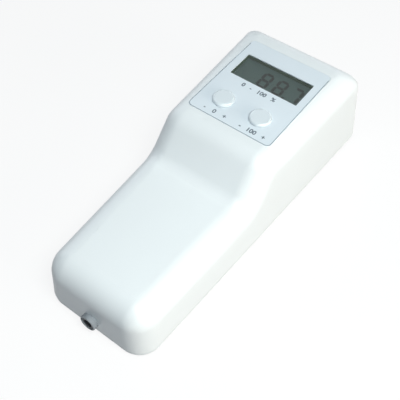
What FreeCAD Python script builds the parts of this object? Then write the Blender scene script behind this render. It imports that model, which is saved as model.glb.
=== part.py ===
import FreeCAD, Part
import math
import os

# Handheld whiteness meter. Millimetres, +Z up, +Y from the grip to the measuring head,
# origin at the middle of the footprint on the surface that the meter stands on.

# Case, read off the photograph against the width of its display window
case_length = 208.6
grip_width = 71.3
head_width = 88.8
grip_height = 35.7
head_height = 56.9
slope_foot_from_back = 116.1
slope_top_from_back = 98.3
case_draft = 4.4
wall = 2.5
top_edge_radius = 13.5
foot_radius = 9.0
shoulder_radius = 14.5
grip_corner_radius = 13.5
head_corner_radius = 5.0

# Base cover
ground_gap = 1.5
cover_thickness = 3.0
cover_step = 0.3
cover_edge_radius = 1.0
lip_height = 3.0
lip_thickness = 1.5
lip_clearance = 0.2

# Panel on top of the head
panel_width = 56.0
panel_from_back = 88.0
panel_length = 68.0
panel_corner = 3.0
panel_thickness = 0.5
panel_clearance = 0.1

# Display
view_width = 46.0
view_length = 20.0
view_from_back = 42.4
view_depth = 3.4
window_border = 0.8
window_thickness = 1.5
window_clearance = 0.2
lcd_width = 50.8
lcd_length = 30.5
lcd_thickness = 2.8
frame_wall = 2.0
frame_cover = 0.5
strip_width = 2.5

# Main board
board_width = 58.0
board_from_back = 90.6
board_length = 73.0
board_thickness = 1.6
board_drop = 9.0
post_radius = 2.6
post_inset_x = 3.5
post_inset_y = 3.9
board_screw_radius = 1.1
board_screw_length = 5.0
board_screw_head_radius = 2.0
board_screw_head_height = 1.4
chip_length = 34.0
chip_width = 13.5
chip_height = 3.4

# Zero and correction controls
knob_spacing = 25.2
knob_from_back = 73.2
knob_radius = 6.5
knob_height = 1.9
knob_gap = 0.4
knob_skin = 1.2
knob_edge_radius = 1.2
stem_radius = 4.0
stem_clearance = 0.3
shaft_radius = 3.0
shaft_clearance = 0.05
pot_size = 10.0
pot_height = 6.2
shaft_foot = 1.5

# Supply socket low in the grip end
socket_height = 10.0
collar_radius = 5.0
collar_height = 3.2
collar_seat = 1.2
collar_edge_radius = 0.6
socket_flange_radius = 4.1
socket_flange = 2.8
socket_barrel_radius = 3.8
socket_barrel_length = 11.0
socket_bore_radius = 2.75
socket_bore_depth = 9.5
socket_pin_radius = 1.0
socket_pin_length = 8.0
socket_nut_flats = 9.6
socket_nut_thickness = 2.2
socket_edge_radius = 0.8
fit_clearance = 0.1

# Rocker switch in the back wall of the head
switch_height = 28.0
bezel_width = 21.0
bezel_height = 15.0
bezel_thickness = 1.6
bezel_border = 2.1
bezel_edge_radius = 0.5
switch_body_inset = 1.1
switch_body_depth = 12.0
switch_floor = 2.0
rocker_gap = 0.5
rocker_crown = 1.6
rocker_slant = 10.0
rocker_skirt = 2.1
pivot_depth = 3.0
pivot_radius = 1.2
pivot_clearance = 0.05
pivot_skin = 0.4
rocker_hub_radius = 2.4
terminal_width = 4.8
terminal_thickness = 0.8
terminal_length = 7.0
terminal_spacing = 7.0

# Battery and its sliding door in the underside of the grip
battery_length = 46.4
battery_width = 26.5
battery_height = 17.5
battery_edge_radius = 2.0
battery_stud_height = 2.6
small_stud_radius = 3.0
large_stud_radius = 4.0
battery_slack = 0.5
pad_width = 17.6
pad_length = 37.0
bay_start = 20.0
bay_length = 53.0
bay_half_width = 17.4
bay_wall = 1.6
bay_height = 18.4
bay_exit_radius = 2.6
opening_half_width = 15.0
door_ledge = 1.2
door_thickness = 1.5
door_corner = 1.0
door_gap = 0.2
door_overlap = 2.8
door_travel = 5.0
tab_length = 4.4
tab_thickness = 1.2
tab_reach = 2.0
snap_thickness = 3.0
groove_depth = 0.5
groove_width = 1.0
groove_count = 4

# Measuring port and optics under the head
port_from_back = 42.6
port_radius = 9.0
port_ring_radius = 18.0
port_neck_radius = 14.8
port_lip = 1.0
glass_radius = 11.0
glass_thickness = 2.0
block_half_width = 29.0
block_half_length = 15.0
block_height = 25.5
block_flange = 3.0
block_flange_length = 46.0
block_foot = 3.0
lamp_angle = 45.0
lamp_face = 32.0
lamp_bore_radius = 4.5
lamp_radius = 2.5
lamp_length = 8.0
lamp_tip_radius = 1.5
lens_thickness = 2.4
lens_place = 19.5
holder_flange_radius = 6.5
holder_flange = 3.0
holder_stem = 4.5
light_well_radius = 9.0
light_well_depth = 4.5
sight_bore_radius = 5.0
seat_radius = 7.0
seat_depth = 6.0
filter_thickness = 2.0
ring_bore_radius = 4.8
ring_height = 1.8
diode_radius = 4.6
diode_height = 3.8
detector_width = 24.0
detector_length = 28.0
detector_thickness = 1.6
amplifier_width = 6.4
amplifier_length = 9.5
amplifier_height = 3.2

# Wires inside the case
wire_radius = 0.6
wire_spacing = 2.4
wire_bend = 6.0
wire_arc_share = 0.45

# Screws and feet
case_screw_radius = 1.45
case_screw_length = 12.0
case_screw_head_radius = 2.8
case_screw_head_height = 1.6
cross_depth = 0.7
cross_width = 0.8
cross_reach = 1.7
screw_clearance = 0.05
screw_tip_room = 1.0
boss_radius = 3.6
grip_boss_x = 27.5
grip_boss_y = 28.0
head_boss_x = 33.0
head_boss_from_back = 14.6
small_screw_radius = 1.2
small_screw_length = 7.0
small_screw_head_radius = 2.2
small_screw_head_height = 1.5
rubber_foot_radius = 5.0
foot_seat = 0.3
foot_edge_radius = 0.5
rubber_foot_x = 24.5
rubber_foot_y = 13.0

# Places worked out from the sizes above
slope_angle = math.atan2(head_height - grip_height, slope_foot_from_back - slope_top_from_back)
draft = math.tan(math.radians(case_draft))
rocker_half_height = bezel_height / 2 - bezel_border - rocker_gap
rocker_half_length = bezel_width / 2 - bezel_border - rocker_gap * 1.8
rocker_lean = math.radians(rocker_slant)
rocker_reach = (bezel_thickness + rocker_crown + pivot_depth) * math.cos(rocker_lean) - pivot_depth
front_reach = collar_height + (collar_radius - socket_height) * draft
back_reach = rocker_reach + (rocker_half_height - switch_height) * draft
y_grip_end = (front_reach - back_reach - case_length) / 2
y_back = y_grip_end + case_length
cover_top = ground_gap + cover_thickness
lcd_top = head_height - view_depth
board_top = head_height - board_drop
board_bottom = board_top - board_thickness
block_bottom = cover_top + block_foot
block_top = block_bottom + block_height
big = 400.0
hair = 0.01

# How edges of the case are told apart: upright ones, and those that cross its middle
upright_ratio = 3.0
middle_band = 1.0
end_band = wall * 4


def vec(x, y, z):
    return FreeCAD.Vector(x, y, z)


def from_grip_end(distance):
    return y_grip_end + distance


def from_back(distance):
    """Place of what belongs to the head, at a distance from the back end of the case."""
    return y_back - distance


def box(x0, x1, y0, y1, z0, z1):
    return Part.makeBox(x1 - x0, y1 - y0, z1 - z0, vec(x0, y0, z0))


def slab(half_width, y0, y1, z0, z1):
    return box(-half_width, half_width, y0, y1, z0, z1)


def rod(radius, x, y, z0, z1):
    return Part.makeCylinder(radius, z1 - z0, vec(x, y, z0), vec(0, 0, 1))


def corner_arc(before, corner, after, radius):
    """Start, middle and end of the arc that rounds a corner between two straight runs."""
    back = (before - corner).normalize()
    ahead = (after - corner).normalize()
    half_turn = back.getAngle(ahead) / 2
    middle = (back + ahead).normalize()
    reach = radius / math.tan(half_turn)
    centre = corner + middle * (radius / math.sin(half_turn))
    return (corner + back * reach, centre - middle * radius, corner + ahead * reach)


def rounded_wire(corners, radii):
    """Closed outline through the corners, each rounded by its own radius."""
    count = len(corners)
    arcs = [corner_arc(corners[i - 1], corners[i], corners[(i + 1) % count], radii[i]) for i in range(count)]
    edges = []
    for i, arc in enumerate(arcs):
        edges.append(Part.Arc(*arc).toShape())
        following = arcs[(i + 1) % count]
        edges.append(Part.makeLine(arc[2], following[0]))
    return Part.Wire(edges)


def rounded_plate(half_width, y0, y1, z0, z1, corner):
    corners = [vec(-half_width, y0, z0), vec(half_width, y0, z0)]
    corners += [vec(half_width, y1, z0), vec(-half_width, y1, z0)]
    return Part.Face(rounded_wire(corners, [corner] * 4)).extrude(vec(0, 0, z1 - z0))


def half_width_at(distance):
    """Half width of the case at the ground, at a distance from the grip end."""
    return (grip_width + (head_width - grip_width) * distance / case_length) / 2


def case_corners(inset, z):
    """Corners of the case's plan outline at height z, drawn in by inset."""
    lean = z * draft
    y0 = from_grip_end(inset + lean)
    y1 = y_back - inset - lean
    half0 = half_width_at(inset + lean) - inset - lean
    half1 = half_width_at(case_length - inset - lean) - inset - lean
    return [vec(-half0, y0, z), vec(half0, y0, z), vec(half1, y1, z), vec(-half1, y1, z)]


def case_outline(inset, z):
    """Plan outline of the case at height z with its rounded corners."""
    grip = grip_corner_radius - inset
    head = head_corner_radius - inset
    return rounded_wire(case_corners(inset, z), [grip, grip, head, head])


def side_profile(inset):
    """Solid below the case's top line: level grip, slope and level head."""
    shift = inset * math.tan(slope_angle / 2)
    foot = vec(-big / 2, from_back(slope_foot_from_back) + shift, grip_height - inset)
    top = vec(-big / 2, from_back(slope_top_from_back) + shift, head_height - inset)
    start = vec(-big / 2, -big, grip_height - inset)
    end = vec(-big / 2, big, head_height - inset)
    hollow = corner_arc(start, foot, top, foot_radius + inset)
    shoulder = corner_arc(foot, top, end, shoulder_radius - inset)
    below = [end, vec(-big / 2, big, -big), vec(-big / 2, -big, -big), start]
    edges = [Part.makeLine(start, hollow[0]), Part.Arc(*hollow).toShape()]
    edges += [Part.makeLine(hollow[2], shoulder[0]), Part.Arc(*shoulder).toShape()]
    edges += [Part.makeLine(shoulder[2], end)] + [Part.makeLine(a, b) for a, b in zip(below, below[1:])]
    return Part.Face(Part.Wire(edges)).extrude(vec(big, 0, 0))


def fillet_by_edge(shape, radius_of):
    """Round the edges of a shape, each by the radius that radius_of gives, where it isn't zero."""
    document = FreeCAD.newDocument("rounding")
    base = document.addObject("Part::Feature", "sharp")
    base.Shape = shape
    rounded = document.addObject("Part::Fillet", "rounded")
    rounded.Base = base
    radii = [(i + 1, radius_of(edge)) for i, edge in enumerate(shape.Edges)]
    rounded.Edges = [(i, radius, radius) for i, radius in radii if radius > 0]
    document.recompute()
    result = rounded.Shape.copy()
    FreeCAD.closeDocument(document.Name)
    return result


def case_body(inset, z_low):
    """Solid of the case drawn in by inset, from z_low up, with its soft corners and top edges."""
    outlines = [Part.makePolygon(case_corners(inset, z) + case_corners(inset, z)[:1])
                for z in (z_low, head_height + wall)]
    body = Part.makeLoft(outlines, True, True).common(side_profile(inset))

    def radius_of(edge):
        middle = edge.valueAt((edge.FirstParameter + edge.LastParameter) / 2)
        bounds = edge.BoundBox
        across = abs(middle.x) < middle_band and abs(middle.y) < case_length / 2 - end_band
        if middle.z < z_low + hair or across:
            return 0
        if bounds.ZLength < upright_ratio * max(bounds.XLength, bounds.YLength):
            return top_edge_radius - inset
        if middle.y < 0:
            return grip_corner_radius - inset
        return head_corner_radius - inset

    return fillet_by_edge(body, radius_of)


def tilted_out(shape, x, y, z, lean):
    """Move a shape built around the origin on to a leaning end wall."""
    moved = shape.copy()
    moved.rotate(vec(0, 0, 0), vec(1, 0, 0), lean)
    moved.translate(vec(x, y, z))
    return moved


def on_grip_end(shape):
    return tilted_out(shape, 0, from_grip_end(socket_height * draft), socket_height, -case_draft)


def on_back_wall(shape):
    return tilted_out(shape, 0, y_back - switch_height * draft, switch_height, case_draft)


def boss_places():
    places = [(side * grip_boss_x, from_grip_end(grip_boss_y)) for side in (-1, 1)]
    return places + [(side * head_boss_x, from_back(head_boss_from_back)) for side in (-1, 1)]


def board_post_places():
    x = board_width / 2 - post_inset_x
    near = from_back(board_from_back) + post_inset_y
    far = from_back(board_from_back) + board_length - post_inset_y
    return [(-x, near), (x, near), (-x, far), (x, far)]


def block_screw_places():
    x = block_half_width - block_foot
    y = block_flange_length / 2 - block_foot - 1
    middle = from_back(port_from_back)
    return [(i * x, middle + j * y) for i in (-1, 1) for j in (-1, 1)]


def detector_screw_places():
    middle = from_back(port_from_back)
    y = detector_length / 2 - small_screw_head_radius - fit_clearance
    return [(0, middle + side * y) for side in (-1, 1)]


def knob_x(side):
    return side * knob_spacing / 2


def knob_hole(side):
    """Hole that a knob's stem turns in, through the panel and the case's top."""
    return rod(stem_radius + stem_clearance, knob_x(side), from_back(knob_from_back), board_top, big)


def upper_shell():
    outer = case_body(0, cover_top)
    inner = case_body(wall, 0)
    shell = outer.cut(inner)
    top_inside = head_height - wall
    for x, y in boss_places():
        boss = rod(boss_radius, x, y, cover_top, head_height).common(outer)
        shell = shell.fuse(boss)
    for x, y in board_post_places():
        shell = shell.fuse(rod(post_radius, x, y, board_top, top_inside + wall / 2))
    screw_hole_top = ground_gap + case_screw_length + screw_tip_room
    for x, y in boss_places():
        shell = shell.cut(rod(case_screw_radius + screw_clearance, x, y, 0, screw_hole_top))
    for x, y in board_post_places():
        hole_top = board_bottom + board_screw_length + screw_clearance
        shell = shell.cut(rod(board_screw_radius + screw_clearance, x, y, board_top - 1, hole_top))
    half = panel_width / 2
    y0 = from_back(panel_from_back)
    y1 = y0 + panel_length
    recess_floor = head_height - panel_thickness
    shell = shell.cut(rounded_plate(half, y0, y1, recess_floor, head_height + 1, panel_corner))
    middle = from_back(view_from_back)
    seat_x = view_width / 2 + window_border + window_clearance
    seat_y = view_length / 2 + window_border + window_clearance
    shell = shell.cut(slab(seat_x, middle - seat_y, middle + seat_y, top_inside - 1, head_height))
    for side in (-1, 1):
        shell = shell.cut(knob_hole(side))
    shell = shell.cut(on_grip_end(socket_rod(socket_barrel_radius + fit_clearance, -wall, wall * 2)))
    body_x = bezel_width / 2 - switch_body_inset + fit_clearance
    body_z = bezel_height / 2 - switch_body_inset + fit_clearance
    return shell.cut(on_back_wall(box(-body_x, body_x, -wall * 3, wall, -body_z, body_z)))


def base_cover():
    low = case_outline(cover_step, ground_gap)
    plate = Part.makeLoft([low, case_outline(cover_step, cover_top)], True, True)
    rim = [edge for edge in plate.Edges if edge.BoundBox.ZMax < ground_gap + hair]
    plate = plate.makeFillet(cover_edge_radius, rim)
    lip_out = case_outline(wall + lip_clearance, cover_top)
    lip_in = case_outline(wall + lip_clearance + lip_thickness, cover_top)
    lip = Part.Face(lip_out).extrude(vec(0, 0, lip_height))
    lip = lip.cut(Part.Face(lip_in).extrude(vec(0, 0, lip_height)))
    notch = socket_nut_flats
    lip = lip.cut(slab(notch, y_grip_end, from_grip_end(notch), cover_top, big))
    taper = [case_outline(wall + lip_clearance, z) for z in (cover_top - 1, cover_top + lip_height + 1)]
    lip = lip.common(Part.makeLoft(taper, True, True))
    cover = plate.fuse(lip)
    for x, y in block_screw_places():
        cover = cover.fuse(rod(boss_radius, x, y, cover_top - 1, block_bottom))
    for x, y in block_screw_places():
        hole_bottom = block_bottom + block_flange - small_screw_length - screw_clearance
        cover = cover.cut(rod(small_screw_radius + screw_clearance, x, y, hole_bottom, block_bottom + 1))
    for x, y in boss_places():
        cover = cover.cut(rod(case_screw_radius + screw_clearance, x, y, 0, cover_top + 1))
        head_seat = ground_gap + case_screw_head_height
        cover = cover.cut(rod(case_screw_head_radius + fit_clearance, x, y, 0, head_seat))
    for side in (-1, 1):
        seat_top = ground_gap + foot_seat
        y = from_grip_end(rubber_foot_y)
        cover = cover.cut(rod(rubber_foot_radius + fit_clearance, side * rubber_foot_x, y, 0, seat_top))
    neck_hole = port_neck_radius + fit_clearance
    cover = cover.cut(rod(neck_hole, 0, from_back(port_from_back), 0, cover_top + 1))
    return cover.cut(battery_opening())


def battery_opening():
    """Hole for the battery, recess for the door and its travel, and the notches that free its tabs."""
    y0 = from_grip_end(bay_start)
    y1 = y0 + bay_length
    half = opening_half_width + door_overlap + door_gap
    recess_y0 = y0 - door_overlap - door_travel - door_gap
    cut = slab(opening_half_width, y0, y1, 0, cover_top + 1)
    cut = cut.fuse(slab(half, recess_y0, y1 + door_overlap, 0, cover_top - door_ledge))
    notch_half = opening_half_width + tab_reach + 2 * door_gap
    reach = tab_length / 2 + fit_clearance
    for y in tab_places():
        middle = y - door_travel
        cut = cut.fuse(slab(notch_half, middle - reach, middle + reach, ground_gap, cover_top + 1))
    return cut


def tab_places():
    y0 = from_grip_end(bay_start)
    return [y0 + bay_length / 3, y0 + bay_length - tab_length]


def battery_door():
    y0 = from_grip_end(bay_start) - door_overlap + door_gap
    y1 = from_grip_end(bay_start) + bay_length + door_overlap - door_gap
    top = cover_top - door_ledge - door_gap
    low = top - door_thickness
    door = rounded_plate(opening_half_width + door_overlap, y0, y1, low, top, door_corner)
    leg_out = opening_half_width - door_gap
    leg_in = leg_out - tab_thickness
    foot_low = cover_top + 2 * door_gap
    foot_high = foot_low + tab_thickness
    for y in tab_places():
        near = y - tab_length / 2
        far = y + tab_length / 2
        for side in (-1, 1):
            a, b = sorted((side * leg_in, side * leg_out))
            door = door.fuse(box(a, b, near, far, low, foot_high))
            a, b = sorted((side * leg_in, side * (opening_half_width + tab_reach)))
            door = door.fuse(box(a, b, near, far, foot_low, foot_high))
    for i in range(groove_count):
        y = y0 + 2 * door_overlap + 2 * i * groove_width
        door = door.cut(slab(opening_half_width / 2, y, y + groove_width, 0, low + groove_depth))
    return door


def battery_compartment():
    y0 = from_grip_end(bay_start) - bay_wall
    y1 = y0 + bay_length + 2 * bay_wall
    top = cover_top + bay_height
    shell = slab(bay_half_width + bay_wall, y0, y1, cover_top, top + bay_wall)
    shell = shell.cut(slab(bay_half_width, y0 + bay_wall, y1 - bay_wall, cover_top - 1, top))
    rib_in = battery_width / 2 + battery_slack
    rib_low = cover_top + 3 * tab_thickness
    for side in (-1, 1):
        for y in (y0 + bay_wall + tab_length, y1 - bay_wall - 3 * tab_length):
            a, b = sorted((side * rib_in, side * (bay_half_width + bay_wall / 2)))
            shell = shell.fuse(box(a, b, y, y + bay_wall, rib_low, top + bay_wall / 2))
    exit_start = vec(0, y1 - 2 * bay_wall, bay_exit_height())
    return shell.cut(Part.makeCylinder(bay_exit_radius, 4 * bay_wall, exit_start, vec(0, 1, 0)))


def bay_exit_height():
    return cover_top + bay_height / 2


def battery_start():
    return from_grip_end(bay_start) + battery_slack


def battery_stud_places():
    return [(-battery_width / 4, small_stud_radius), (battery_width / 4, large_stud_radius)]


def battery():
    y0 = battery_start()
    y1 = y0 + battery_length
    body = slab(battery_width / 2, y0, y1, cover_top, cover_top + battery_height)
    lengthwise = [edge for edge in body.Edges if edge.BoundBox.YLength > battery_length / 2]
    body = body.makeFillet(battery_edge_radius, lengthwise)
    middle = cover_top + battery_height / 2
    for x, radius in battery_stud_places():
        stud = Part.makeCylinder(radius, battery_stud_height, vec(x, y1, middle), vec(0, 1, 0))
        body = body.fuse(stud)
    return body


def battery_snap():
    y0 = battery_start() + battery_length
    low = cover_top + battery_slack
    high = cover_top + battery_height - battery_slack
    snap = slab(battery_width / 2 - battery_slack, y0, y0 + snap_thickness, low, high)
    middle = cover_top + battery_height / 2
    for x, radius in battery_stud_places():
        stud = Part.makeCylinder(radius, battery_stud_height, vec(x, y0, middle), vec(0, 1, 0))
        snap = snap.cut(stud)
    return snap


def battery_pad():
    y0 = battery_start() + (battery_length - pad_length) / 2
    low = cover_top + battery_height
    return slab(pad_width / 2, y0, y0 + pad_length, low, cover_top + bay_height)


def panel_overlay():
    half = panel_width / 2 - panel_clearance
    y0 = from_back(panel_from_back) + panel_clearance
    y1 = y0 + panel_length - 2 * panel_clearance
    low = head_height - panel_thickness
    sheet = rounded_plate(half, y0, y1, low, head_height, panel_corner - panel_clearance)
    middle = from_back(view_from_back)
    sheet = sheet.cut(slab(view_width / 2, middle - view_length / 2, middle + view_length / 2, 0, big))
    for side in (-1, 1):
        sheet = sheet.cut(knob_hole(side))
    return sheet


def display_window():
    middle = from_back(view_from_back)
    x = view_width / 2 + window_border
    y = view_length / 2 + window_border
    top = head_height - panel_thickness
    return slab(x, middle - y, middle + y, top - window_thickness, top)


def lcd_frame():
    middle = from_back(view_from_back)
    half_x = lcd_width / 2 + frame_wall
    half_y = lcd_length / 2 + frame_wall
    window_low = head_height - panel_thickness - window_thickness
    frame = slab(half_x, middle - half_y, middle + half_y, board_top, lcd_top + frame_cover)
    rim_x = view_width / 2 + window_border
    rim_y = view_length / 2 + window_border
    frame = frame.fuse(slab(rim_x, middle - rim_y, middle + rim_y, lcd_top, window_low))
    glass_x = lcd_width / 2 + fit_clearance
    glass_y = lcd_length / 2 + fit_clearance
    frame = frame.cut(slab(glass_x, middle - glass_y, middle + glass_y, board_top - 1, lcd_top))
    return frame.cut(slab(view_width / 2, middle - view_length / 2, middle + view_length / 2, 0, big))


def lcd_glass():
    middle = from_back(view_from_back)
    half = lcd_length / 2
    return slab(lcd_width / 2, middle - half, middle + half, lcd_top - lcd_thickness, lcd_top)


def lcd_contact_strips():
    middle = from_back(view_from_back)
    half = lcd_width / 2 - strip_width
    strips = []
    for side in (-1, 1):
        near = middle + side * (lcd_length / 2 - strip_width) - strip_width / 2
        strips.append(slab(half, near, near + strip_width, board_top, lcd_top - lcd_thickness))
    return Part.makeCompound(strips)


def main_board():
    y0 = from_back(board_from_back)
    board = slab(board_width / 2, y0, y0 + board_length, board_bottom, board_top)
    for x, y in board_post_places():
        board = board.cut(rod(board_screw_radius + screw_clearance, x, y, 0, big))
    return board


def board_screws():
    screws = []
    for x, y in board_post_places():
        shank = rod(board_screw_radius, x, y, board_bottom, board_bottom + board_screw_length)
        head = rod(board_screw_head_radius, x, y, board_bottom - board_screw_head_height, board_bottom)
        screws.append(shank.fuse(head))
    return Part.makeCompound(screws)


def converter_chip():
    middle = from_back(board_from_back) + board_length / 3
    half = chip_width / 2
    return slab(chip_length / 2, middle - half, middle + half, board_bottom - chip_height, board_bottom)


def pot_body(side):
    x = knob_x(side)
    y = from_back(knob_from_back)
    half = pot_size / 2
    body = box(x - half, x + half, y - half, y + half, board_top, board_top + pot_height)
    return body.cut(rod(shaft_radius + shaft_clearance, x, y, board_top + shaft_foot, big))


def knob_base():
    return head_height + knob_gap


def pot_shaft(side):
    low = board_top + shaft_foot + shaft_clearance
    high = knob_base() + knob_height - knob_skin
    return rod(shaft_radius, knob_x(side), from_back(knob_from_back), low, high)


def knob(side):
    x = knob_x(side)
    y = from_back(knob_from_back)
    low = knob_base()
    high = low + knob_height
    cap = rod(knob_radius, x, y, low, high)
    crown = [edge for edge in cap.Edges if edge.BoundBox.ZMin > high - hair]
    cap = cap.makeFillet(knob_edge_radius, crown)
    hollow = rod(knob_radius - knob_skin, x, y, low - 1, high - knob_skin)
    cap = cap.cut(hollow.cut(rod(stem_radius, x, y, 0, big)))
    stem_low = board_top + pot_height + stem_clearance
    cap = cap.fuse(rod(stem_radius, x, y, stem_low, high - knob_skin))
    return cap.cut(rod(shaft_radius, x, y, 0, high - knob_skin))


def socket_rod(radius, y0, y1):
    return Part.makeCylinder(radius, y1 - y0, vec(0, y0, 0), vec(0, 1, 0))


def socket_collar():
    """Ring that the socket's flange clamps against the grip's end wall."""
    ring = socket_rod(collar_radius, -collar_height, 0)
    front = [edge for edge in ring.Edges if edge.BoundBox.YMax < -collar_height + hair]
    ring = ring.makeFillet(collar_edge_radius, front)
    ring = ring.cut(socket_rod(socket_flange_radius + fit_clearance, -big, -collar_seat))
    return on_grip_end(ring.cut(socket_rod(socket_barrel_radius + fit_clearance, -big, big)))


def dc_socket_body():
    flange = socket_rod(socket_flange_radius, -socket_flange, -collar_seat)
    face = [edge for edge in flange.Edges if edge.BoundBox.YMax < -socket_flange + hair]
    body = flange.makeFillet(socket_edge_radius, face)
    inside_flange = (socket_flange + collar_seat) / 2
    body = body.fuse(socket_rod(socket_barrel_radius, -inside_flange, socket_barrel_length))
    floor = socket_bore_depth - socket_flange
    body = body.cut(socket_rod(socket_bore_radius, -socket_flange - 1, floor))
    pin_root = socket_rod(socket_pin_radius, 0, socket_barrel_length + wall)
    return on_grip_end(body.cut(pin_root))


def dc_socket_pin():
    floor = socket_bore_depth - socket_flange
    pin = socket_rod(socket_pin_radius, floor - socket_pin_length, socket_barrel_length + wall)
    tip = [edge for edge in pin.Edges if edge.BoundBox.YMax < floor - socket_pin_length + hair]
    return on_grip_end(pin.makeFillet(socket_pin_radius / 2, tip))


def dc_socket_nut():
    corner = socket_nut_flats / math.sqrt(3)
    turns = [math.radians(60 * i) for i in range(7)]
    points = [vec(corner * math.cos(turn), wall, corner * math.sin(turn)) for turn in turns]
    nut = Part.Face(Part.makePolygon(points)).extrude(vec(0, socket_nut_thickness, 0))
    return on_grip_end(nut.cut(socket_rod(socket_barrel_radius, 0, big)))


def switch_housing():
    half_x = bezel_width / 2
    half_z = bezel_height / 2
    opening_x = half_x - bezel_border
    opening_z = half_z - bezel_border
    bezel = box(-half_x, half_x, 0, bezel_thickness, -half_z, half_z)
    face = [edge for edge in bezel.Edges if edge.BoundBox.YMin > bezel_thickness - hair]
    bezel = bezel.makeFillet(bezel_edge_radius, face)
    body_x = bezel_width / 2 - switch_body_inset
    body_z = bezel_height / 2 - switch_body_inset
    body = box(-body_x, body_x, -switch_body_depth, bezel_thickness / 2, -body_z, body_z)
    housing = bezel.fuse(body)
    floor = switch_floor - switch_body_depth
    housing = housing.cut(box(-opening_x, opening_x, floor, bezel_thickness + 1, -opening_z, opening_z))
    return on_back_wall(housing.cut(pivot_rod(pivot_radius + pivot_clearance, body_z - pivot_skin)))


def pivot_rod(radius, reach):
    """Rod about the rocker's pivot, reaching as far up as down."""
    return Part.makeCylinder(radius, 2 * reach, vec(0, -pivot_depth, -reach), vec(0, 0, 1))


def switch_rocker():
    half = rocker_half_length
    height = rocker_half_height
    drop = half * math.tan(math.radians(rocker_slant))
    crown = bezel_thickness + rocker_crown
    foot = half - rocker_gap
    ridge = vec(0, crown, -height)
    points = [ridge, vec(half, crown - drop, -height), vec(foot, -rocker_skirt, -height)]
    points += [vec(-foot, -rocker_skirt, -height), vec(-half, crown - drop, -height), ridge]
    cap = Part.Face(Part.makePolygon(points)).extrude(vec(0, 0, 2 * height))
    hub = pivot_rod(rocker_hub_radius, height)
    pin = pivot_rod(pivot_radius, bezel_height / 2 - switch_body_inset - pivot_skin - pivot_clearance)
    rocker = cap.fuse(hub).fuse(pin)
    rocker.rotate(vec(0, -pivot_depth, 0), vec(0, 0, 1), -rocker_slant)
    return on_back_wall(rocker)


def switch_terminals():
    tip = -switch_body_depth - terminal_length
    half = terminal_width / 2
    blades = []
    for side in (-1, 1):
        x0 = side * terminal_spacing / 2 - terminal_thickness / 2
        blades.append(box(x0, x0 + terminal_thickness, tip, -switch_body_depth, -half, half))
    return on_back_wall(Part.makeCompound(blades))


def port_ring():
    y = from_back(port_from_back)
    ring = rod(port_ring_radius, 0, y, 0, ground_gap)
    ring = ring.makeFillet(foot_edge_radius, [edge for edge in ring.Edges if edge.BoundBox.ZMax < hair])
    ring = ring.fuse(rod(port_neck_radius, 0, y, ground_gap / 2, cover_top))
    ring = ring.cut(rod(port_radius, 0, y, -1, big))
    return ring.cut(rod(glass_radius + fit_clearance, 0, y, port_lip, big))


def port_window():
    return rod(glass_radius, 0, from_back(port_from_back), port_lip, port_lip + glass_thickness)


def along_lamp(side, start, end, radius):
    """Cylinder on a lamp's slanting axis, between two distances from the middle of the port."""
    angle = math.radians(lamp_angle)
    direction = vec(side * math.sin(angle), 0, math.cos(angle))
    middle = vec(0, from_back(port_from_back), 0)
    return Part.makeCylinder(radius, end - start, middle + direction * start, direction)


def optics_block():
    y = from_back(port_from_back)
    half = block_half_width
    block = slab(half, y - block_half_length, y + block_half_length, block_bottom, block_top)
    flange = slab(half, y - block_flange_length / 2, y + block_flange_length / 2,
                  block_bottom, block_bottom + block_flange)
    block = block.fuse(flange)
    for side in (-1, 1):
        block = block.cut(along_lamp(side, lamp_face, lamp_face + block_height, block_height))
        block = block.cut(along_lamp(side, block_bottom, lamp_face + 1, lamp_bore_radius))
    block = block.cut(rod(light_well_radius, 0, y, 0, block_bottom + light_well_depth))
    block = block.cut(rod(sight_bore_radius, 0, y, 0, big))
    block = block.cut(rod(seat_radius, 0, y, block_top - seat_depth, big))
    snout_low = port_lip + glass_thickness
    snout = rod(glass_radius - fit_clearance, 0, y, snout_low, block_bottom + 1)
    block = block.fuse(snout.cut(rod(port_radius, 0, y, 0, big)))
    for x, hole_y in block_screw_places():
        block = block.cut(rod(small_screw_radius + screw_clearance, x, hole_y, 0, big))
    for x, hole_y in detector_screw_places():
        hole_low = block_top + detector_thickness - small_screw_length - screw_clearance
        block = block.cut(rod(small_screw_radius + screw_clearance, x, hole_y, hole_low, big))
    return block


def small_screws(places, seat):
    screws = []
    for x, y in places:
        shank = rod(small_screw_radius, x, y, seat - small_screw_length, seat)
        head = rod(small_screw_head_radius, x, y, seat, seat + small_screw_head_height)
        screws.append(shank.fuse(head))
    return Part.makeCompound(screws)


def lamp_holders():
    holders = []
    for side in (-1, 1):
        holder = along_lamp(side, lamp_face, lamp_face + holder_flange, holder_flange_radius)
        holder = holder.fuse(along_lamp(side, lamp_face - holder_stem, lamp_face + 1, lamp_bore_radius))
        holders.append(holder.cut(along_lamp(side, 0, lamp_face + holder_flange / 2, lamp_radius)))
    return Part.makeCompound(holders)


def lamp(side):
    end = lamp_face + holder_flange / 2
    glass = along_lamp(side, end - lamp_length, end, lamp_radius)
    rims = [edge for edge in glass.Edges if edge.Length > 2 * math.pi * lamp_radius - hair]
    tip = min(rims, key=lambda edge: edge.CenterOfMass.z)
    return glass.makeFillet(lamp_tip_radius, [tip])


def condenser_lenses():
    return Part.makeCompound([along_lamp(side, lens_place, lens_place + lens_thickness, lamp_bore_radius)
                              for side in (-1, 1)])


def blue_filter():
    low = block_top - seat_depth
    return rod(seat_radius, 0, from_back(port_from_back), low, low + filter_thickness)


def filter_ring():
    y = from_back(port_from_back)
    low = block_top - seat_depth + filter_thickness
    ring = rod(seat_radius, 0, y, low, low + ring_height)
    return ring.cut(rod(ring_bore_radius, 0, y, 0, big))


def photodiode():
    return rod(diode_radius, 0, from_back(port_from_back), block_top - diode_height, block_top)


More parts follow.
